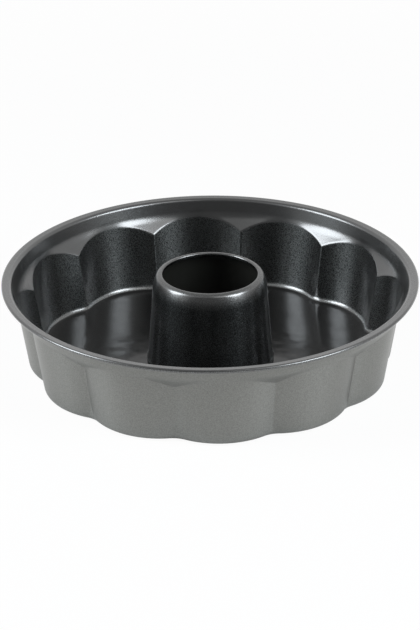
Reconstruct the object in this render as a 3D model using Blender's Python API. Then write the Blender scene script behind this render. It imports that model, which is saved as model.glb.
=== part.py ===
"""Fluted tube pan: a drawn steel pan with twelve flutes and an open conical tube.

Metres, +Z up. The origin is on the pan's axis, at the flat underside of the floor.
The middle of one flute lies on +X.
"""
import math

import bmesh
import bpy

# Whole pan
RIM_RADIUS = 0.1300            # axis to the outermost edge of the rim
RIM_HEIGHT = 0.0580            # underside of the floor to the top of the rim
SHEET = 0.0007                 # thickness of the coated sheet
SEAM_CLEARANCE = 0.0003        # gap kept between the tube's foot and the pan

# Rim
FLANGE_WIDTH = 0.0040          # centre of the rim bend to the outermost edge
RIM_BEND = 0.0018              # radius under the bend between collar and flange
HEM_GAP = 0.0009               # height of the slot inside the hem
HEM_RETURN = 0.0020            # flat length of the hem that lies under the flange

# Round collar under the rim, and the sloping shoulder between collar and flutes
COLLAR_HEIGHT = 0.0110         # top of the rim down to the collar's foot
COLLAR_DRAFT = math.radians(17.0)
SHOULDER_DRAFT = math.radians(40.0)
SHOULDER_STEP = 0.00015        # how far the collar's foot stands outside the flutes

# Flutes
FLUTES = 12
FLUTE_RADIUS = 0.0452          # outside radius of a flute where its wall reaches the ground
WALL_DRAFT = math.radians(8.4)
FLOOR_CORNER = 0.0041          # inside radius between wall and floor
GROOVE_RADIUS = 0.0012         # outside radius of the groove between two flutes
GROOVE_FOOT_RADIUS = 0.0140    # the same where the groove runs out at the floor
GROOVE_RUNOUT = 0.0120         # height over which the groove widens

# Centre tube
TUBE_HEIGHT = 0.0598           # underside of the pan's floor to the top of the tube
TUBE_FOOT_RADIUS = 0.0398      # outside radius of the cone where it reaches the ground
TUBE_DRAFT = math.radians(4.4)
SHOULDER_RADIUS = 0.0235       # outside radius of the wide curve above the cone
TOP_RADIUS = 0.0034            # outside radius of the rounded top
TOP_END = math.radians(25.0)   # slope at which the wide curve passes into the rounded top
LIP_LAND = 0.0001              # level ring between the rounded top and the lip
LIP_BEND = 0.0003              # radius under the lip, where it turns into the bore
LIP_DROP = 0.0012              # straight length of the lip in the bore

# Seam between tube and floor
SEAM_HEIGHT = 0.0028
SEAM_BULGE = 0.0006            # how far the rolled bead stands out of the cone

# Facets
ANGLES_FROM_GROOVE = (0.0, 0.09, 0.27, 0.48, 0.73)   # columns, as shares of half a flute
TUBE_COLUMNS = 64
CORNER_STEPS = 4
SHOULDER_STEPS = 3
BEND_STEPS = 3
HEM_STEPS = 4
LIP_STEPS = 3
SEAM_STEPS = 4
NECK_STEPS = 2
HALVINGS = 40                  # enough to place a crossing far below a micron
WELD = 0.000001
SHARP_EDGE = math.radians(20.0)

# Finish
PAN_COLOUR = (0.20, 0.20, 0.195, 1.0)
TUBE_COLOUR = (0.035, 0.035, 0.036, 1.0)

# Sizes that follow from the ones above
half_flute = math.pi / FLUTES
wall_slope = math.tan(WALL_DRAFT)
corner_outer = FLOOR_CORNER + SHEET
bend_outer = RIM_BEND + SHEET
bend_radius_at = RIM_RADIUS - FLANGE_WIDTH
bend_height = RIM_HEIGHT - bend_outer
collar_foot_height = RIM_HEIGHT - COLLAR_HEIGHT
hem_outer = HEM_GAP / 2 + SHEET


def collar_foot(outside):
    """Radius and height of the line where collar and shoulder meet, on either face of the sheet."""
    tangent_radius = bend_radius_at - bend_outer * math.cos(COLLAR_DRAFT)
    tangent_height = bend_height + bend_outer * math.sin(COLLAR_DRAFT)
    radius = tangent_radius - math.tan(COLLAR_DRAFT) * (tangent_height - collar_foot_height)
    if not outside:
        return radius, collar_foot_height
    across = math.cos(COLLAR_DRAFT) + math.cos(SHOULDER_DRAFT)
    down = math.sin(COLLAR_DRAFT) + math.sin(SHOULDER_DRAFT)
    share = SHEET / (1 + math.cos(SHOULDER_DRAFT - COLLAR_DRAFT))
    return radius + share * across, collar_foot_height - share * down


def flute_radius(height, outside):
    """Radius of a flute's cone at a height, about the flute's own axis."""
    radius = FLUTE_RADIUS + wall_slope * height
    return radius if outside else radius - SHEET / math.cos(WALL_DRAFT)


# Distance from the pan's axis to each flute's axis: the flutes touch the collar's foot from inside
flute_axis = (collar_foot(False)[0] - SHOULDER_STEP
              - flute_radius(collar_foot_height, False))


def groove_radius(height):
    """Outside radius of the groove, wide at the floor and narrow above."""
    share = min(max(height / GROOVE_RUNOUT, 0.0), 1.0)
    share = share * share * (3 - 2 * share)
    return GROOVE_FOOT_RADIUS + (GROOVE_RADIUS - GROOVE_FOOT_RADIUS) * share


def fluted(angle, flute, groove):
    """Distance from the pan's axis to a ring of flutes of one radius, with rounded grooves."""
    off_flute = abs((angle + half_flute) % (2 * half_flute) - half_flute)
    off_groove = half_flute - off_flute
    across = flute_axis * math.sin(half_flute)
    along = flute_axis * math.cos(half_flute)
    groove_axis = along + math.sqrt((flute + groove) ** 2 - across ** 2)
    share = flute / (flute + groove)
    touch = math.atan2(across * (1 - share), along + (groove_axis - along) * share)
    if off_groove < touch:
        side = groove_axis * math.sin(off_groove)
        return groove_axis * math.cos(off_groove) - math.sqrt(groove ** 2 - side ** 2)
    side = flute_axis * math.sin(off_flute)
    return flute_axis * math.cos(off_flute) + math.sqrt(flute ** 2 - side ** 2)


def wall_radius(angle, height, outside):
    groove = groove_radius(height) if outside else groove_radius(height) + SHEET
    return fluted(angle, flute_radius(height, outside), groove)


def flute_top(angle, outside):
    """Point where the fluted wall runs into the sloping shoulder, found by halving."""
    foot_radius, foot_height = collar_foot(outside)
    low, high = corner_outer, foot_height
    for _ in range(HALVINGS):
        height = (low + high) / 2
        shoulder = foot_radius - math.tan(SHOULDER_DRAFT) * (foot_height - height)
        if wall_radius(angle, height, outside) > shoulder:
            low = height
        else:
            high = height
    return wall_radius(angle, low, outside), low


def arc(centre, radius, start, end, steps):
    """Points of an arc in the profile plane, both ends included."""
    points = []
    for i in range(steps + 1):
        angle = start + (end - start) * i / steps
        points.append((centre[0] + radius * math.cos(angle), centre[1] + radius * math.sin(angle)))
    return points


def floor_corner(angle, outside):
    """Rounded corner from the floor up to the fluted wall."""
    radius = corner_outer if outside else FLOOR_CORNER
    end_height = corner_outer * (1 - math.sin(WALL_DRAFT))
    flute_centre = flute_radius(end_height, True) - corner_outer * math.cos(WALL_DRAFT)
    points = []
    for i in range(CORNER_STEPS + 1):
        turn = (math.pi / 2 - WALL_DRAFT) * i / CORNER_STEPS
        height = corner_outer - radius * math.cos(turn)
        inset = corner_outer * math.cos(WALL_DRAFT) - radius * math.sin(turn)
        groove = groove_radius(height) + inset
        points.append((fluted(angle, flute_centre + radius * math.sin(turn), groove), height))
    return points


def tube_radius(height):
    """Outside radius of the tube's wall, with the bead rolled at its foot."""
    share = min(max((height - SHEET - SEAM_CLEARANCE) / SEAM_HEIGHT, 0.0), 1.0)
    bulge = SEAM_BULGE * math.sin(math.pi * share) ** 2
    return TUBE_FOOT_RADIUS - math.tan(TUBE_DRAFT) * height + bulge


def seam_heights():
    foot = SHEET + SEAM_CLEARANCE
    return [foot + SEAM_HEIGHT * i / SEAM_STEPS for i in range(SEAM_STEPS + 1)]


def tube_inside(height):
    return tube_radius(height) - SHEET / math.cos(TUBE_DRAFT)


def pan_profile(angle):
    """Closed outline of the pan's sheet at one angle, from the floor's hole round and back."""
    neck_outside = [(tube_inside(z) - SEAM_CLEARANCE, z) for z in seam_heights()]
    neck_inside = [(r - SHEET, z) for r, z in neck_outside]
    bend_centre = (tube_inside(neck_outside[0][1]), neck_outside[0][1])
    down = -math.pi / 2
    neck_bend_under = arc(bend_centre, SEAM_CLEARANCE + SHEET, -math.pi, down, NECK_STEPS)
    neck_bend_top = arc(bend_centre, SEAM_CLEARANCE, down, -math.pi, NECK_STEPS)
    rim_centre = (bend_radius_at, bend_height)
    hem_centre = (RIM_RADIUS - hem_outer, RIM_HEIGHT - hem_outer)
    up = math.pi / 2
    hem_slot = hem_centre[0] - HEM_RETURN

    points = neck_bend_under
    points += floor_corner(angle, True)
    points.append((wall_radius(angle, GROOVE_RUNOUT, True), GROOVE_RUNOUT))
    points.append(flute_top(angle, True))
    points.append(collar_foot(True))
    points += arc(rim_centre, RIM_BEND, math.pi - COLLAR_DRAFT, up, BEND_STEPS)
    points += arc(hem_centre, HEM_GAP / 2, up, down, BEND_STEPS)
    points.append((hem_slot, hem_centre[1] - HEM_GAP / 2))
    points.append((hem_slot, hem_centre[1] - hem_outer))
    points += arc(hem_centre, hem_outer, down, up, HEM_STEPS)
    points += arc(rim_centre, bend_outer, up, math.pi - COLLAR_DRAFT, BEND_STEPS)
    points.append(collar_foot(False))
    points.append(flute_top(angle, False))
    points.append((wall_radius(angle, GROOVE_RUNOUT, False), GROOVE_RUNOUT))
    points += reversed(floor_corner(angle, False))
    points += neck_bend_top
    points += neck_outside[1:]
    points += reversed(neck_inside[1:])
    return points


def tube_profile(_angle):
    """Closed outline of the tube's sheet, from its foot up the outside and down the bore."""
    lip_outer = LIP_BEND + SHEET
    top_height = TUBE_HEIGHT - TOP_RADIUS
    wide_height = top_height - (SHOULDER_RADIUS - TOP_RADIUS) * math.sin(TOP_END)
    shoulder_foot = wide_height + SHOULDER_RADIUS * math.sin(TUBE_DRAFT)
    wide_centre = (tube_radius(shoulder_foot) - SHOULDER_RADIUS * math.cos(TUBE_DRAFT), wide_height)
    top_centre = (wide_centre[0] + (SHOULDER_RADIUS - TOP_RADIUS) * math.cos(TOP_END), top_height)
    lip_centre = (top_centre[0] - LIP_LAND, TUBE_HEIGHT - lip_outer)
    up = math.pi / 2

    points = [(tube_radius(z), z) for z in seam_heights()]
    points += arc(wide_centre, SHOULDER_RADIUS, TUBE_DRAFT, TOP_END, SHOULDER_STEPS)
    points += arc(top_centre, TOP_RADIUS, TOP_END, up, CORNER_STEPS)[1:]
    points += arc(lip_centre, lip_outer, up, math.pi, LIP_STEPS)
    points.append((lip_centre[0] - lip_outer, lip_centre[1] - LIP_DROP))
    points.append((lip_centre[0] - LIP_BEND, lip_centre[1] - LIP_DROP))
    points += arc(lip_centre, LIP_BEND, math.pi, up, LIP_STEPS)
    points += arc(top_centre, TOP_RADIUS - SHEET, up, TOP_END, CORNER_STEPS)
    points += arc(wide_centre, SHOULDER_RADIUS - SHEET, TOP_END, TUBE_DRAFT, SHOULDER_STEPS)[1:]
    points += [(tube_inside(z), z) for z in reversed(seam_heights())]
    return points


def pan_angles():
    """Column angles all round, closer together beside each groove."""
    half = [half_flute * share for share in ANGLES_FROM_GROOVE]
    angles = []
    for i in range(FLUTES):
        groove = (2 * i + 1) * half_flute
        angles += [groove + off for off in half]
        angles.append(groove + half_flute)
        angles += [groove + 2 * half_flute - off for off in reversed(half[1:])]
    return angles


def tube_angles():
    return [2 * math.pi * i / TUBE_COLUMNS for i in range(TUBE_COLUMNS)]


def coated_steel(name, colour, roughness, metallic):
    material = bpy.data.materials.new(name)
    material.use_nodes = True
    shader = material.node_tree.nodes["Principled BSDF"]
    shader.inputs["Base Color"].default_value = colour
    shader.inputs["Roughness"].default_value = roughness
    shader.inputs["Metallic"].default_value = metallic
    return material


def sheet_ring(name, angles, profile, material):
    """Closed ring of sheet metal: one outline at each angle, joined to the next one round."""
    mesh = bpy.data.meshes.new(name)
    bm = bmesh.new()
    columns = []
    for angle in angles:
        column = [bm.verts.new((r * math.cos(angle), r * math.sin(angle), z)) for r, z in profile(angle)]
        columns.append(column)
    for i, column in enumerate(columns):
        following = columns[(i + 1) % len(columns)]
        for j in range(len(column)):
            k = (j + 1) % len(column)
            bm.faces.new((column[j], following[j], following[k], column[k]))
    bmesh.ops.remove_doubles(bm, verts=bm.verts, dist=WELD)
    bmesh.ops.recalc_face_normals(bm, faces=bm.faces)
    bm.to_mesh(mesh)
    bm.free()
    mesh.shade_smooth()
    mesh.set_sharp_from_angle(angle=SHARP_EDGE)
    mesh.materials.append(material)
    ring = bpy.data.objects.new(name, mesh)
    bpy.context.scene.collection.objects.link(ring)
    return ring


def main():
    for old in list(bpy.data.objects):
        bpy.data.objects.remove(old, do_unlink=True)
    lacquer = coated_steel("grey lacquered steel", PAN_COLOUR, 0.42, 0.6)
    coat = coated_steel("charcoal coated steel", TUBE_COLOUR, 0.30, 0.5)
    sheet_ring("fluted_pan", pan_angles(), pan_profile, lacquer)
    sheet_ring("centre_tube", tube_angles(), tube_profile, coat)


main()
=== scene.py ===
"""Looks of the fluted tube pan: fine meshes, finishes, studio and camera.

Metres, +Z up, in the frame of the CAD model. The pan's axis is the Z axis, the ground is at zero,
and the middle of one flute lies on +X.
"""
import math

import bpy
import numpy as np
from mathutils import Matrix, Vector


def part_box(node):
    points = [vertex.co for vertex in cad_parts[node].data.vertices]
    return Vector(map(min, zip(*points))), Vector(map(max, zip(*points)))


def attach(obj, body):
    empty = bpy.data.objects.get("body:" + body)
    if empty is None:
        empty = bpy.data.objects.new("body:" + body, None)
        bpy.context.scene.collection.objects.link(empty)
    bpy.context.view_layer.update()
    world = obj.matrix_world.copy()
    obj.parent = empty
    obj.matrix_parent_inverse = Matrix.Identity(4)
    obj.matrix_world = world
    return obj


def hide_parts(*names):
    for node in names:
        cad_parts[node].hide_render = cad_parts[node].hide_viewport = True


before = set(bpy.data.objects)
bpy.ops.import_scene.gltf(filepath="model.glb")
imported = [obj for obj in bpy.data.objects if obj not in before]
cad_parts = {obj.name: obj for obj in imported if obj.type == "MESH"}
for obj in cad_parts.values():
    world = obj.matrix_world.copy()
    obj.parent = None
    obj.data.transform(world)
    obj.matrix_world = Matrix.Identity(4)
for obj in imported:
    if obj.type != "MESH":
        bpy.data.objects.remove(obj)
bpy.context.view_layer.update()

# Sizes read from the frame
RIM_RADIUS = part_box("fluted_pan")[1].x
RIM_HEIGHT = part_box("fluted_pan")[1].z
TUBE_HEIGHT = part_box("centre_tube")[1].z

# Sheet
SHEET = 0.0007                 # thickness of the coated sheet
SEAM_CLEARANCE = 0.0003        # gap kept between the tube's foot and the pan

# Rim
FLANGE_WIDTH = 0.0040          # centre of the rim bend to the outermost edge
RIM_BEND = 0.0018              # radius under the bend between collar and flange
HEM_GAP = 0.0009               # height of the slot inside the hem
HEM_RETURN = 0.0020            # flat length of the hem that lies under the flange
FLANGE_RISE = 0.00028          # how far the flange rises outward

# Collar and shoulder
COLLAR_HEIGHT = 0.0110         # top of the rim down to the collar's foot
COLLAR_DRAFT = math.radians(17.0)
SHOULDER_DRAFT = math.radians(40.0)
SHOULDER_STEP = 0.00015        # how far the collar's foot stands outside the flutes
COLLAR_BLEND = 0.00140         # softening of the crease between collar and shoulder
SHOULDER_BLEND = 0.00050       # softening of the crease between shoulder and flutes
FLUTE_TOP_BLEND = 0.00100      # the same where a flute runs out into the collar
FLUTE_TOP = 0.0035             # height over which that softening sets in

# Flutes
FLUTES = 12
FLUTE_RADIUS = 0.0452          # outside radius of a flute where its wall reaches the ground
WALL_DRAFT = math.radians(8.4)
FLOOR_CORNER = 0.0041          # inside radius between wall and floor
GROOVE_RADIUS = 0.0012         # outside radius of the groove between two flutes
GROOVE_FOOT_RADIUS = 0.0140    # the same where the groove runs out at the floor
GROOVE_RUNOUT = 0.0120         # height over which the groove narrows

# Centre tube
TUBE_FOOT_RADIUS = 0.0398      # outside radius of the cone where it reaches the ground
TUBE_DRAFT = math.radians(4.4)
SHOULDER_RADIUS = 0.0235       # outside radius of the wide curve above the cone
TOP_RADIUS = 0.0034            # outside radius of the rounded top
TOP_END = math.radians(25.0)   # slope at which the wide curve passes into the rounded top
LIP_LAND = 0.0001              # level ring between the rounded top and the lip
LIP_BEND = 0.0003              # radius under the lip, where it turns into the bore
LIP_DROP = 0.0012              # straight length of the lip in the bore
SEAM_HEIGHT = 0.0028           # height of the bead rolled at the tube's foot
SEAM_BULGE = 0.0006            # how far that bead stands out of the cone

# Mesh density: columns round the axis and steps along the profile
HALF_FLUTE_COLUMNS = 28
COLUMN_CROWDING = 1.7          # above 1, the columns lie closer together beside each groove
NECK_STEPS = 12
NECK_BEND_STEPS = 4
FLOOR_SHARES = (0.02, 0.25, 0.5, 0.75, 0.97)   # places of the flat floor's rings, from neck to corner
CORNER_STEPS = 12
WALL_ROWS = 14
SHOULDER_REACH = 0.0105        # the finer rings start this far below the collar's foot
SHOULDER_ROWS = 48
RIM_BEND_STEPS = 14
FLANGE_STEPS = 4
HEM_STEPS = 20
HEM_RETURN_STEPS = 2
TUBE_COLUMNS = 288
TUBE_SEAM_STEPS = 16
TUBE_CONE_STEPS = 12
TUBE_SHOULDER_STEPS = 14
TUBE_TOP_STEPS = 16
LIP_BEND_STEPS = 10
LIP_DROP_STEPS = 3
SHARP_ANGLE = math.radians(35.0)

# Camera, measured against the photograph
CAMERA_LENS = 122.0            # millimetres
SENSOR = 36.0                  # millimetres, the side that spans the frame's height
CAMERA_DISTANCE = 1.3345       # from the middle of the rim
CAMERA_AIM_HEIGHT = 0.0568
CAMERA_ELEVATION = math.radians(24.856)
CAMERA_PITCH = math.radians(25.876)
CAMERA_TURN = math.radians(-4.253)
CAMERA_YAW = math.radians(-0.008)
CAMERA_ROLL = math.radians(-0.472)

# Softboxes by degrees, seen from the pan: azimuth 0 is straight behind it, and right is positive
LAMP_DISTANCE = 1.4
LAMP_TONE = (0.95, 1.00, 1.05)            # the lamps are a little cooler than the backdrop
LEFT_AZIMUTH = -99.5
LEFT_ELEVATION = 33.0
LEFT_WIDTH = 28.0
LEFT_HEIGHT = 38.0
LEFT_LEVEL = 9.5               # brightness of the lamp's face; 1 is white
RIGHT_AZIMUTH = 120.0
RIGHT_ELEVATION = 35.0
RIGHT_WIDTH = 32.0
RIGHT_HEIGHT = 30.0
RIGHT_LEVEL = 10.0

# Floor of the stage, by distance from the pan's axis
WHITE = (1, 1, 1, 1)
STAGE_TONE = (0.9, 0.9, 0.9, 1)
STAGE_ROUGHNESS = 0.9
STAGE_REACH = 6.0
STAGE_DEPTH = 0.0002           # the stage lies this far under the ground, clear of the pan
FLOOR_GLOW = 0.95              # share of the floor's own white in what camera and reflections see
GLOW_STARTS = 0.060            # nearer, the floor has no glow for the camera and keeps the pan's shadow
GLOW_FULL = 0.110
SHADE_STARTS = 0.095           # the same for mirrored rays, which see more of the shade round the pan's foot
SHADE_ENDS = 0.138
FAR_STARTS = 0.35              # farther out the floor goes over to plain white
FAR_FULL = 1.20

# Surroundings, measured from what the pan mirrors in the photograph; 1 is white
FILL = 0.1                     # their level as plain light
ROOM_LOW = -0.05               # sine of the elevation up to which the mirrored room is dim
ROOM_HIGH = 0.26
ROOM_DIM = 0.15
ROOM_TOP = 0.70                # sine of the elevation from which the room overhead gets dimmer
ROOM_TOP_FULL = 0.95
TOP_DIM = 0.65
NEAR_EDGE = 0.55               # cosine to the camera's side from which the mirrored room gets dimmer
NEAR_MIDDLE = 0.72
NEAR_DIM = 0.30
BACKDROP_EDGE = 0.55           # cosine to straight behind the pan from which the backdrop shows
BACKDROP_FULL = 0.68
BOUNCE_AZIMUTH = 145.0         # bright patch of ceiling, in degrees like the softboxes
BOUNCE_ELEVATION = 52.0
BOUNCE_EDGE = 0.945            # cosine to its middle
BOUNCE_FULL = 0.985
BOUNCE_LEVEL = 1.2

# Smooth coat of the floor
FLOOR_TONE = (0.001, 0.001, 0.001, 1)
FLOOR_ROUGHNESS = 0.17
FLOOR_IOR = 1.5
FLOOR_FINISH_STEPS = 5         # steps of the floor's corner that still have this coat
SWELL_SCALE = 45.0             # per metre
SWELL_DETAIL = 2.0
SWELL_DEPTH = 0.0006

# Coat on the drawn sheet: metal flecks under a clear top
# One and the same coat: collar and rim are darker with painted shade, the flutes paler with a painted sheen
COLLAR_SHADED_TONE = (0.0110, 0.0130, 0.0131, 1)
FLUTE_SHEEN_TONE = (0.0575, 0.0620, 0.0612, 1)
TUBE_TONE = (0.0266, 0.0290, 0.0291, 1)
TUBE_EDGE_TONE = (0.4, 0.4, 0.4, 1)       # its flecks mirror less at a grazing angle than plain metal
COLLAR_GRAIN = 0.90            # how much the flecks lighten and darken the tone
FLUTE_GRAIN = 0.95             # the same on the flutes and on the tube
FLUTE_FINISH_STARTS = 0.0001   # distance outside the shoulder's cone over which the flutes' tone, paler with painted sheen, and their grain set in
FLUTE_FINISH_FULL = 0.0008
DRAWN_ROUGHNESS = 0.36
DRAW_SPREAD = 0.75             # how much farther light is spread up and down than round the pan
DRAW_TURN = 0.25               # quarter turn, from round the pan to up and down
COAT_ROUGHNESS = 0.23
COAT_IOR = 1.9

# Flecks and orange peel
FLECK_SCALE = 1500.0
FLECK_DETAIL = 2.0
FLECK_ROUGHNESS = 0.7
FLECK_LOW = 0.3                # level of the noise where the tone is darkest
FLECK_HIGH = 0.7               # level of the noise where it is brightest
FLECK_GAIN = 2.0               # brightest to middle, where the grain is at its full strength
PEEL_SCALE = 900.0
PEEL_DETAIL = 1.0
PEEL_DEPTH = 0.000020
NOISE_ROUGHNESS = 0.5          # of swell and peel

# Lacquer outside
LACQUER_TONE = (0.2155, 0.2190, 0.2075, 1)
LACQUER_METALLIC = 0.9
LACQUER_ROUGHNESS = 0.36
LACQUER_SPREAD = 0.8           # like the spread of the drawn coat
LACQUER_GRAIN = 0.16

# Coat of the bore
BORE_TONE = (0.0125, 0.0130, 0.0110, 1)
BORE_ROUGHNESS = 0.38

# Helpers: a right angle, and places of both inputs and the output in Mix nodes, whose sockets share names
QUARTER_TURN = math.pi / 2
MIX_SOCKETS = {"FLOAT": (2, 3, 0), "RGBA": (6, 7, 2)}

# Values that follow from the ones above
half_flute = math.pi / FLUTES
wall_slope = math.tan(WALL_DRAFT)
corner_outer = FLOOR_CORNER + SHEET
bend_outer = RIM_BEND + SHEET
bend_radius_at = RIM_RADIUS - FLANGE_WIDTH
bend_height = RIM_HEIGHT - FLANGE_RISE - bend_outer
hem_outer = HEM_GAP / 2 + SHEET
collar_foot_height = RIM_HEIGHT - COLLAR_HEIGHT
wall_foot_height = corner_outer * (1 - math.sin(WALL_DRAFT))
collar_top = (bend_radius_at - bend_outer * math.cos(COLLAR_DRAFT),
              bend_height + bend_outer * math.sin(COLLAR_DRAFT))
collar_foot_radius = collar_top[0] - math.tan(COLLAR_DRAFT) * (collar_top[1] - collar_foot_height)
camera_turn = Matrix.Rotation(CAMERA_TURN, 3, "Z")


def inner_flute_radius(height):
    """Inside radius of a flute's cone at a height, about the flute's own axis."""
    return FLUTE_RADIUS + wall_slope * height - SHEET / math.cos(WALL_DRAFT)


flute_axis = collar_foot_radius - SHOULDER_STEP - inner_flute_radius(collar_foot_height)


def smooth_share(value):
    """Share from nought to one that starts and ends gently."""
    share = min(max(value, 0.0), 1.0)
    return share * share * (3 - 2 * share)


def soft_min(a, b, blend):
    """The smaller of two distances, with the crease between them rounded off."""
    share = np.clip(0.5 + 0.5 * (b - a) / blend, 0, 1)
    return b * (1 - share) + a * share - blend * share * (1 - share)


def soft_max(a, b, blend):
    """The larger of two distances, with the crease between them rounded off."""
    return -soft_min(-a, -b, blend)


def arc(centre, radius, start, end, steps):
    """Points of an arc in the profile plane, both ends included."""
    turns = [start + (end - start) * i / steps for i in range(steps + 1)]
    return [(centre[0] + radius * math.cos(turn), centre[1] + radius * math.sin(turn)) for turn in turns]


def line(start, end, steps):
    """Points of a straight stretch without its first one."""
    return [(start[0] + (end[0] - start[0]) * i / steps, start[1] + (end[1] - start[1]) * i / steps)
            for i in range(1, steps + 1)]


def round_rings(angles, points):
    """Rings with one radius and one height each, from points of the profile."""
    ones = np.ones_like(angles)
    return [(radius * ones, height * ones) for radius, height in points]


def groove_radius(height):
    """Outside radius of the groove, wide at the floor and narrow above."""
    share = smooth_share(height / GROOVE_RUNOUT)
    return GROOVE_FOOT_RADIUS + (GROOVE_RADIUS - GROOVE_FOOT_RADIUS) * share


def fluted(angles, flute, groove):
    """Distance from the pan's axis to a ring of flutes of one radius, with rounded grooves."""
    off_flute = np.abs((angles + half_flute) % (2 * half_flute) - half_flute)
    off_groove = half_flute - off_flute
    across = flute_axis * math.sin(half_flute)
    along = flute_axis * math.cos(half_flute)
    groove_axis = along + math.sqrt((flute + groove) ** 2 - across ** 2)
    share = flute / (flute + groove)
    touch = math.atan2(across * (1 - share), along + (groove_axis - along) * share)
    groove_side = np.clip(groove ** 2 - (groove_axis * np.sin(off_groove)) ** 2, 0, None)
    in_groove = groove_axis * np.cos(off_groove) - np.sqrt(groove_side)
    flute_side = flute ** 2 - (flute_axis * np.sin(off_flute)) ** 2
    in_flute = flute_axis * np.cos(off_flute) + np.sqrt(flute_side)
    return np.where(off_groove < touch, in_groove, in_flute)


def inside_radius(angles, height):
    """Inside radius of the pan between floor corner and rim: flutes, shoulder and collar, blended."""
    flutes = fluted(angles, inner_flute_radius(height), groove_radius(height) + SHEET)
    shoulder = collar_foot_radius - math.tan(SHOULDER_DRAFT) * (collar_foot_height - height)
    collar = collar_foot_radius - math.tan(COLLAR_DRAFT) * (collar_foot_height - height)
    share = smooth_share((height - collar_foot_height) / FLUTE_TOP + 1.0)
    blend = SHOULDER_BLEND + (FLUTE_TOP_BLEND - SHOULDER_BLEND) * share
    return soft_max(flutes, soft_min(shoulder, collar, COLLAR_BLEND), blend)


def tube_radius(height):
    """Outside radius of the tube's wall, with the bead rolled at its foot."""
    share = min(max((height - SHEET - SEAM_CLEARANCE) / SEAM_HEIGHT, 0.0), 1.0)
    bulge = SEAM_BULGE * math.sin(math.pi * share) ** 2
    return TUBE_FOOT_RADIUS - math.tan(TUBE_DRAFT) * height + bulge


def seam_heights(steps):
    """Heights of the rolled bead, from the tube's foot up."""
    foot = SHEET + SEAM_CLEARANCE
    return [foot + SEAM_HEIGHT * i / steps for i in range(steps + 1)]


def pan_columns():
    """Column angles all round, closer together beside each groove."""
    half = [half_flute * (i / HALF_FLUTE_COLUMNS) ** COLUMN_CROWDING for i in range(HALF_FLUTE_COLUMNS + 1)]
    angles = []
    for i in range(FLUTES):
        groove = (2 * i + 1) * half_flute
        angles += [groove + off for off in half]
        angles += [groove + 2 * half_flute - off for off in reversed(half[1:-1])]
    return np.array(angles)


def neck_points():
    """Profile of the neck round the floor's hole, from its top down to the flat floor."""
    neck = [(tube_radius(height) - SHEET / math.cos(TUBE_DRAFT) - SEAM_CLEARANCE, height)
            for height in seam_heights(NECK_STEPS)]
    bend_centre = (neck[0][0] + SEAM_CLEARANCE, neck[0][1])
    bend = arc(bend_centre, SEAM_CLEARANCE, -math.pi, -QUARTER_TURN, NECK_BEND_STEPS)
    return neck[::-1] + bend[1:]


def floor_rings(start, end):
    """Rings of the flat floor, between the last one of the neck and the first one of the corner."""
    return [(start + (end - start) * share, SHEET * np.ones_like(start)) for share in FLOOR_SHARES]


def corner_rings(angles):
    """Rings of the rounded corner between floor and fluted wall."""
    flute_centre = inner_flute_radius(wall_foot_height) - FLOOR_CORNER * math.cos(WALL_DRAFT)
    rings = []
    for i in range(CORNER_STEPS + 1):
        turn = (QUARTER_TURN - WALL_DRAFT) * i / CORNER_STEPS
        height = corner_outer - FLOOR_CORNER * math.cos(turn)
        flute = flute_centre + FLOOR_CORNER * math.sin(turn)
        inset = corner_outer * math.cos(WALL_DRAFT) - FLOOR_CORNER * math.sin(turn)
        radii = fluted(angles, flute, groove_radius(height) + inset)
        rings.append((radii, height * np.ones_like(angles)))
    return rings


def wall_rings(angles):
    """Rings of flutes, shoulder and collar, finer round the shoulder and above."""
    fine = collar_foot_height - SHOULDER_REACH
    heights = [wall_foot_height + (fine - wall_foot_height) * i / WALL_ROWS for i in range(1, WALL_ROWS)]
    heights += [fine + (collar_top[1] - fine) * i / SHOULDER_ROWS for i in range(SHOULDER_ROWS)]
    return [(inside_radius(angles, height), height * np.ones_like(angles)) for height in heights]


def rim_points():
    """Profile of the rim: its bend, the flange and the hem that is folded under it."""
    hem_centre = (RIM_RADIUS - hem_outer, RIM_HEIGHT - hem_outer)
    bend_centre = (bend_radius_at, bend_height)
    points = arc(bend_centre, bend_outer, math.pi - COLLAR_DRAFT, QUARTER_TURN, RIM_BEND_STEPS)
    points += line(points[-1], (hem_centre[0], RIM_HEIGHT), FLANGE_STEPS)
    points += arc(hem_centre, hem_outer, QUARTER_TURN, -QUARTER_TURN, HEM_STEPS)[1:]
    points += line(points[-1], (hem_centre[0] - HEM_RETURN, points[-1][1]), HEM_RETURN_STEPS)
    return points


def pan_rings(angles):
    """Rings of the pan's coated face, from the neck of the floor's hole out to the hem."""
    neck = round_rings(angles, neck_points())
    corner = corner_rings(angles)
    floor = floor_rings(neck[-1][0], corner[0][0])
    return neck + floor + corner + wall_rings(angles) + round_rings(angles, rim_points())


def tube_points():
    """Profile of the tube's outer face, from the lip in the bore over the top and down to the foot."""
    lip_outer = LIP_BEND + SHEET
    top_height = TUBE_HEIGHT - TOP_RADIUS
    wide_height = top_height - (SHOULDER_RADIUS - TOP_RADIUS) * math.sin(TOP_END)
    shoulder_foot = wide_height + SHOULDER_RADIUS * math.sin(TUBE_DRAFT)
    wide_centre = (tube_radius(shoulder_foot) - SHOULDER_RADIUS * math.cos(TUBE_DRAFT), wide_height)
    top_centre = (wide_centre[0] + (SHOULDER_RADIUS - TOP_RADIUS) * math.cos(TOP_END), top_height)
    lip_centre = (top_centre[0] - LIP_LAND, TUBE_HEIGHT - lip_outer)
    points = [(tube_radius(height), height) for height in seam_heights(TUBE_SEAM_STEPS)]
    shoulder = arc(wide_centre, SHOULDER_RADIUS, TUBE_DRAFT, TOP_END, TUBE_SHOULDER_STEPS)
    points += line(points[-1], shoulder[0], TUBE_CONE_STEPS) + shoulder[1:]
    points += arc(top_centre, TOP_RADIUS, TOP_END, QUARTER_TURN, TUBE_TOP_STEPS)[1:]
    points += arc(lip_centre, lip_outer, QUARTER_TURN, math.pi, LIP_BEND_STEPS)
    points += line(points[-1], (points[-1][0], points[-1][1] - LIP_DROP), LIP_DROP_STEPS)
    return points[::-1]


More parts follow.
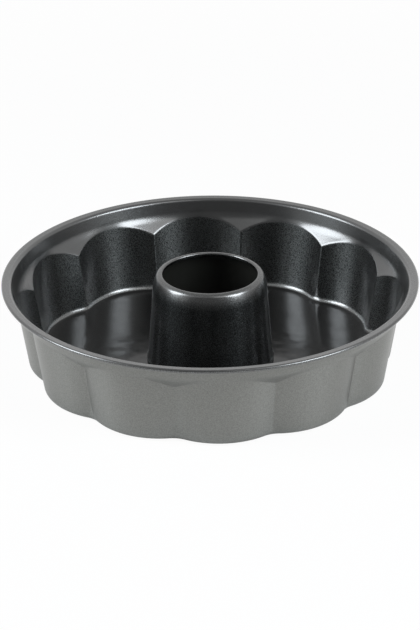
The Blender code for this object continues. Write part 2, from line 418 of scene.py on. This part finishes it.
def sheet_metal(name, angles, face_rings, face_finishes, back_finish):
    """Closed sheet: a face, its back one sheet's thickness behind it, and the two edges.

    Each strip between two rings of the face has its own finish. Back and edges share one.
    """
    radii, heights = np.array(face_rings).swapaxes(0, 1)
    face = np.stack([radii * np.cos(angles), radii * np.sin(angles), heights], axis=-1)
    round_ring = np.roll(face, -1, axis=1) - np.roll(face, 1, axis=1)
    normals = np.cross(np.gradient(face, axis=0), round_ring)
    normals /= np.linalg.norm(normals, axis=-1, keepdims=True)
    loop = np.concatenate([face, (face - normals * SHEET)[::-1]])
    rings, columns = loop.shape[:2]
    here, there = np.meshgrid(np.arange(rings), np.arange(columns), indexing="ij")
    above = (here + 1) % rings
    beside = (there + 1) % columns
    faces = np.stack([here * columns + there, above * columns + there,
                      above * columns + beside, here * columns + beside], axis=-1).reshape(-1, 4)
    mesh = bpy.data.meshes.new(name)
    mesh.from_pydata(loop.reshape(-1, 3).tolist(), [], faces.tolist())
    strips = face_finishes + [back_finish] * (rings - len(face_finishes))
    finishes = list(dict.fromkeys(strips))
    for finish in finishes:
        mesh.materials.append(finish)
    places = np.array([finishes.index(finish) for finish in strips], dtype=np.int32)
    mesh.polygons.foreach_set("material_index", np.repeat(places, columns))
    mesh.shade_smooth()
    mesh.set_sharp_from_angle(angle=SHARP_ANGLE)
    mesh.validate()
    piece = bpy.data.objects.new(name, mesh)
    bpy.context.scene.collection.objects.link(piece)
    return piece


def new_material(name):
    """Material with its node tree and its Principled shader."""
    material = bpy.data.materials.new(name)
    material.use_nodes = True
    tree = material.node_tree
    return material, tree, tree.nodes["Principled BSDF"]


def object_place(tree):
    """Place on the piece, in metres."""
    return tree.nodes.new("ShaderNodeTexCoord").outputs["Object"]


def math_node(tree, operation, first, second):
    """Maths node whose inputs are numbers or the outputs of other nodes."""
    node = tree.nodes.new("ShaderNodeMath")
    node.operation = operation
    for socket, value in zip(node.inputs, (first, second)):
        if isinstance(value, (int, float)):
            socket.default_value = value
        else:
            tree.links.new(value, socket)
    return node.outputs[0]


def ramp_node(tree, value, low, high, result_low, result_high):
    """Smooth step of a value between two levels."""
    node = tree.nodes.new("ShaderNodeMapRange")
    node.interpolation_type = "SMOOTHSTEP"
    tree.links.new(value, node.inputs["Value"])
    node.inputs["From Min"].default_value = low
    node.inputs["From Max"].default_value = high
    node.inputs["To Min"].default_value = result_low
    node.inputs["To Max"].default_value = result_high
    return node.outputs["Result"]


def mixed(tree, share, first, second):
    """Number or colour that goes from the first to the second with a share."""
    node = tree.nodes.new("ShaderNodeMix")
    node.data_type = "FLOAT" if isinstance(first, float) else "RGBA"
    first_place, second_place, result_place = MIX_SOCKETS[node.data_type]
    tree.links.new(share, node.inputs[0])
    node.inputs[first_place].default_value = first
    node.inputs[second_place].default_value = second
    return node.outputs[result_place]


def plain_tone(tree, tone):
    """One colour as the output of a node."""
    node = tree.nodes.new("ShaderNodeRGB")
    node.outputs[0].default_value = tone
    return node.outputs[0]


def noise(tree, place, scale, detail, roughness):
    """Level of a noise on the piece."""
    node = tree.nodes.new("ShaderNodeTexNoise")
    node.inputs["Scale"].default_value = scale
    node.inputs["Detail"].default_value = detail
    node.inputs["Roughness"].default_value = roughness
    tree.links.new(place, node.inputs["Vector"])
    return node.outputs["Fac"]


def bumped(tree, height, depth):
    """Normal of a surface that a height raises by up to a depth."""
    node = tree.nodes.new("ShaderNodeBump")
    node.inputs["Distance"].default_value = depth
    tree.links.new(height, node.inputs["Height"])
    return node.outputs["Normal"]


def flute_share(tree, place):
    """One on the flutes' walls, nought on collar and rim: the flutes stand outside the shoulder's cone. This
    share lays the painted sheen on the flutes and the painted shade on collar and rim.
    """
    split = tree.nodes.new("ShaderNodeSeparateXYZ")
    tree.links.new(place, split.inputs[0])
    across = math_node(tree, "POWER", split.outputs["X"], 2.0)
    along = math_node(tree, "POWER", split.outputs["Y"], 2.0)
    radius = math_node(tree, "SQRT", math_node(tree, "ADD", across, along), 0.0)
    slope = math.tan(SHOULDER_DRAFT)
    cone = math_node(tree, "MULTIPLY", split.outputs["Z"], slope)
    cone = math_node(tree, "ADD", cone, collar_foot_radius - slope * collar_foot_height)
    outside = math_node(tree, "SUBTRACT", radius, cone)
    return ramp_node(tree, outside, FLUTE_FINISH_STARTS, FLUTE_FINISH_FULL, 0.0, 1.0)


def grain(tree, place, tone, strength, shader):
    """Fine metal flecks in the coat's tone and a faint orange peel in its surface."""
    flecks = noise(tree, place, FLECK_SCALE, FLECK_DETAIL, FLECK_ROUGHNESS)
    bright = ramp_node(tree, flecks, FLECK_LOW, FLECK_HIGH, 0.0, FLECK_GAIN)
    gain = math_node(tree, "ADD", math_node(tree, "MULTIPLY", bright, strength),
                     math_node(tree, "SUBTRACT", 1.0, strength))
    scaled = tree.nodes.new("ShaderNodeVectorMath")
    scaled.operation = "SCALE"
    tree.links.new(tone, scaled.inputs[0])
    tree.links.new(gain, scaled.inputs["Scale"])
    tree.links.new(scaled.outputs[0], shader.inputs["Base Color"])
    peel = bumped(tree, noise(tree, place, PEEL_SCALE, PEEL_DETAIL, NOISE_ROUGHNESS), PEEL_DEPTH)
    tree.links.new(peel, shader.inputs["Normal"])
    tree.links.new(peel, shader.inputs["Coat Normal"])


def drawn(tree, shader, spread):
    """Flecks that spread light up and down, along the draw of the sheet."""
    shader.inputs["Anisotropic"].default_value = spread
    shader.inputs["Anisotropic Rotation"].default_value = DRAW_TURN
    around = tree.nodes.new("ShaderNodeTangent")
    around.direction_type = "RADIAL"
    around.axis = "Z"
    tree.links.new(around.outputs["Tangent"], shader.inputs["Tangent"])


def clear_coat(tree, shader):
    """Metal flecks of the drawn sheet under a clear top."""
    shader.inputs["Metallic"].default_value = 1.0
    shader.inputs["Roughness"].default_value = DRAWN_ROUGHNESS
    drawn(tree, shader, DRAW_SPREAD)
    shader.inputs["Coat Weight"].default_value = 1.0
    shader.inputs["Coat Roughness"].default_value = COAT_ROUGHNESS
    shader.inputs["Coat IOR"].default_value = COAT_IOR


def smooth_coat():
    """Clear dark coat on the pan's floor, which isn't stretched; the sheet swells a little."""
    material, tree, shader = new_material("charcoal coat of the floor")
    shader.inputs["Base Color"].default_value = FLOOR_TONE
    shader.inputs["Roughness"].default_value = FLOOR_ROUGHNESS
    shader.inputs["IOR"].default_value = FLOOR_IOR
    swell = noise(tree, object_place(tree), SWELL_SCALE, SWELL_DETAIL, NOISE_ROUGHNESS)
    tree.links.new(bumped(tree, swell, SWELL_DEPTH), shader.inputs["Normal"])
    return material


def drawn_coat():
    """Charcoal coat where the sheet is drawn: painted shade darkens it on collar and rim, and a painted
    sheen lightens it on the flutes.
    """
    material, tree, shader = new_material("charcoal coat")
    place = object_place(tree)
    share = flute_share(tree, place)
    # tone with painted shade on collar and rim and a painted sheen on the flutes
    tone = mixed(tree, share, COLLAR_SHADED_TONE, FLUTE_SHEEN_TONE)
    strength = mixed(tree, share, COLLAR_GRAIN, FLUTE_GRAIN)
    grain(tree, place, tone, strength, shader)
    clear_coat(tree, shader)
    return material


def tube_coat():
    """The same coat on the tube."""
    material, tree, shader = new_material("charcoal coat of the tube")
    grain(tree, object_place(tree), plain_tone(tree, TUBE_TONE), FLUTE_GRAIN, shader)
    clear_coat(tree, shader)
    shader.inputs["Specular Tint"].default_value = TUBE_EDGE_TONE
    return material


def bore_coat():
    """Dull dark coat inside the tube."""
    material, tree, shader = new_material("dull coat of the bore")
    shader.inputs["Base Color"].default_value = BORE_TONE
    shader.inputs["Roughness"].default_value = BORE_ROUGHNESS
    return material


def grey_lacquer():
    """Satin metallic grey lacquer with fine flecks."""
    material, tree, shader = new_material("grey lacquer")
    grain(tree, object_place(tree), plain_tone(tree, LACQUER_TONE), LACQUER_GRAIN, shader)
    shader.inputs["Metallic"].default_value = LACQUER_METALLIC
    shader.inputs["Roughness"].default_value = LACQUER_ROUGHNESS
    drawn(tree, shader, LACQUER_SPREAD)
    return material


def seen_rays(tree):
    """Two shares: one for rays from the camera, and one for those and rays mirrored or let through."""
    path = tree.nodes.new("ShaderNodeLightPath")
    mirrored = math_node(tree, "MAXIMUM", path.outputs["Is Glossy Ray"], path.outputs["Is Transmission Ray"])
    camera_ray = path.outputs["Is Camera Ray"]
    return camera_ray, math_node(tree, "MAXIMUM", camera_ray, mirrored)


def white_floor():
    """White surface that keeps shadows, and shows as white to the camera and in reflections."""
    material, tree, shader = new_material("white floor")
    shader.inputs["Base Color"].default_value = STAGE_TONE
    shader.inputs["Roughness"].default_value = STAGE_ROUGHNESS
    glow = tree.nodes.new("ShaderNodeEmission")
    glow.inputs["Color"].default_value = WHITE
    from_axis = tree.nodes.new("ShaderNodeVectorMath")
    from_axis.operation = "LENGTH"
    tree.links.new(object_place(tree), from_axis.inputs[0])
    radius = from_axis.outputs["Value"]
    near = ramp_node(tree, radius, GLOW_STARTS, GLOW_FULL, 0.0, FLOOR_GLOW)
    mirrored_near = ramp_node(tree, radius, SHADE_STARTS, SHADE_ENDS, 0.0, FLOOR_GLOW)
    far = ramp_node(tree, radius, FAR_STARTS, FAR_FULL, 0.0, 1.0 - FLOOR_GLOW)
    camera_ray, seen = seen_rays(tree)
    glowing = math_node(tree, "MAXIMUM", math_node(tree, "MULTIPLY", camera_ray, near), mirrored_near)
    glowing = math_node(tree, "ADD", glowing, far)
    mix = tree.nodes.new("ShaderNodeMixShader")
    tree.links.new(math_node(tree, "MULTIPLY", seen, glowing), mix.inputs["Fac"])
    tree.links.new(shader.outputs[0], mix.inputs[1])
    tree.links.new(glow.outputs[0], mix.inputs[2])
    tree.links.new(mix.outputs[0], tree.nodes["Material Output"].inputs["Surface"])
    return material


def outward(azimuth, elevation):
    """Direction from the pan by degrees: azimuth 0 is straight behind the pan, seen from the camera."""
    turn = math.radians(azimuth)
    rise = math.radians(elevation)
    level = math.cos(rise)
    return camera_turn @ Vector((math.sin(turn) * level, math.cos(turn) * level, math.sin(rise)))


def facing(tree, direction, towards):
    """Cosine between a ray and a direction."""
    node = tree.nodes.new("ShaderNodeVectorMath")
    node.operation = "DOT_PRODUCT"
    tree.links.new(direction, node.inputs[0])
    node.inputs[1].default_value = towards
    return node.outputs["Value"]


def surround():
    """White for the camera; in reflections a white backdrop, a dimmer room and a patch of ceiling."""
    world = bpy.data.worlds.new("surround")
    bpy.context.scene.world = world
    world.use_nodes = True
    tree = world.node_tree
    direction = tree.nodes.new("ShaderNodeTexCoord").outputs["Generated"]
    split = tree.nodes.new("ShaderNodeSeparateXYZ")
    tree.links.new(direction, split.inputs[0])
    height = split.outputs["Z"]
    behind = facing(tree, direction, outward(0, 0))
    camera_side = facing(tree, direction, outward(180, 0))
    patch_side = facing(tree, direction, outward(BOUNCE_AZIMUTH, BOUNCE_ELEVATION))
    low = ramp_node(tree, height, ROOM_LOW, ROOM_HIGH, ROOM_DIM, 1.0)
    top = ramp_node(tree, height, ROOM_TOP, ROOM_TOP_FULL, 1.0, TOP_DIM)
    near = ramp_node(tree, camera_side, NEAR_EDGE, NEAR_MIDDLE, 1.0, NEAR_DIM)
    room = math_node(tree, "MULTIPLY", math_node(tree, "MULTIPLY", low, top), near)
    backdrop = ramp_node(tree, behind, BACKDROP_EDGE, BACKDROP_FULL, 0.0, 1.0)
    patch = ramp_node(tree, patch_side, BOUNCE_EDGE, BOUNCE_FULL, 0.0, BOUNCE_LEVEL)
    mirrored = math_node(tree, "ADD", math_node(tree, "MAXIMUM", room, backdrop), patch)
    camera_ray, seen = seen_rays(tree)
    shown = math_node(tree, "MULTIPLY", math_node(tree, "MAXIMUM", mirrored, camera_ray), seen)
    fill = math_node(tree, "MULTIPLY", math_node(tree, "SUBTRACT", 1.0, seen), FILL)
    background = tree.nodes["Background"]
    background.inputs["Color"].default_value = WHITE
    tree.links.new(math_node(tree, "ADD", shown, fill), background.inputs["Strength"])


def softbox(name, azimuth, elevation, wide, high, level):
    """Soft lamp by its direction and size in degrees, seen from the pan."""
    width = 2 * LAMP_DISTANCE * math.tan(math.radians(wide / 2))
    height = 2 * LAMP_DISTANCE * math.tan(math.radians(high / 2))
    area = math.pi / 4 * width * height
    light = bpy.data.lights.new(name, "AREA")
    light.shape = "ELLIPSE"
    light.size = width
    light.size_y = height
    light.energy = math.pi * area * level
    light.color = LAMP_TONE
    lamp = bpy.data.objects.new(name, light)
    away = outward(azimuth, elevation)
    lamp.location = away * LAMP_DISTANCE
    lamp.rotation_euler = away.to_track_quat("Z", "Y").to_euler()
    bpy.context.scene.collection.objects.link(lamp)


def studio():
    """Floor, pale surround and two softboxes."""
    mesh = bpy.data.meshes.new("floor")
    sides = ((-1, -1), (1, -1), (1, 1), (-1, 1))
    corners = [(x * STAGE_REACH, y * STAGE_REACH, -STAGE_DEPTH) for x, y in sides]
    mesh.from_pydata(corners, [], [(0, 1, 2, 3)])
    mesh.materials.append(white_floor())
    floor = bpy.data.objects.new("floor", mesh)
    bpy.context.scene.collection.objects.link(floor)
    surround()
    softbox("left softbox", LEFT_AZIMUTH, LEFT_ELEVATION, LEFT_WIDTH, LEFT_HEIGHT, LEFT_LEVEL)
    softbox("right softbox", RIGHT_AZIMUTH, RIGHT_ELEVATION, RIGHT_WIDTH, RIGHT_HEIGHT, RIGHT_LEVEL)


def photograph_camera():
    """Camera at the photograph's place and angle."""
    data = bpy.data.cameras.new("camera")
    data.lens = CAMERA_LENS
    data.sensor_width = SENSOR
    camera = bpy.data.objects.new("camera", data)
    ahead = math.cos(CAMERA_PITCH)
    forward = Vector((math.sin(CAMERA_YAW) * ahead, math.cos(CAMERA_YAW) * ahead, -math.sin(CAMERA_PITCH)))
    level = forward.cross(Vector((0, 0, 1))).normalized()
    above = level.cross(forward)
    right = level * math.cos(CAMERA_ROLL) + above * math.sin(CAMERA_ROLL)
    up = above * math.cos(CAMERA_ROLL) - level * math.sin(CAMERA_ROLL)
    place = camera_turn @ Vector((0, -CAMERA_DISTANCE * math.cos(CAMERA_ELEVATION),
                                  CAMERA_DISTANCE * math.sin(CAMERA_ELEVATION)))
    place.z += CAMERA_AIM_HEIGHT
    axes = Matrix((camera_turn @ right, camera_turn @ up, camera_turn @ -forward)).transposed()
    camera.matrix_world = Matrix.Translation(place) @ axes.to_4x4()
    bpy.context.scene.collection.objects.link(camera)
    bpy.context.scene.camera = camera


def fluted_pan():
    """The pan: smooth coat on the floor, drawn coat from there to the hem, lacquer on the back."""
    angles = pan_columns()
    rings = pan_rings(angles)
    floor_strips = len(neck_points()) + len(FLOOR_SHARES) + FLOOR_FINISH_STEPS
    drawn_strips = len(rings) - 1 - floor_strips
    coats = [smooth_coat()] * floor_strips + [drawn_coat()] * drawn_strips
    pan = sheet_metal("fluted_pan_sheet", angles, rings, coats, grey_lacquer())
    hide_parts("fluted_pan")
    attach(pan, "root")


def centre_tube():
    """The tube: drawn coat outside and over the lip, dull coat in the bore."""
    angles = np.linspace(0, 2 * math.pi, TUBE_COLUMNS, endpoint=False)
    rings = round_rings(angles, tube_points())
    coats = [tube_coat()] * (len(rings) - 1)
    tube = sheet_metal("centre_tube_sheet", angles, rings, coats, bore_coat())
    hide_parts("centre_tube")
    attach(tube, "root")


def main():
    """Camera and studio first, then the two pieces."""
    bpy.context.scene.view_settings.view_transform = "Standard"
    photograph_camera()
    studio()
    fluted_pan()
    centre_tube()


main()
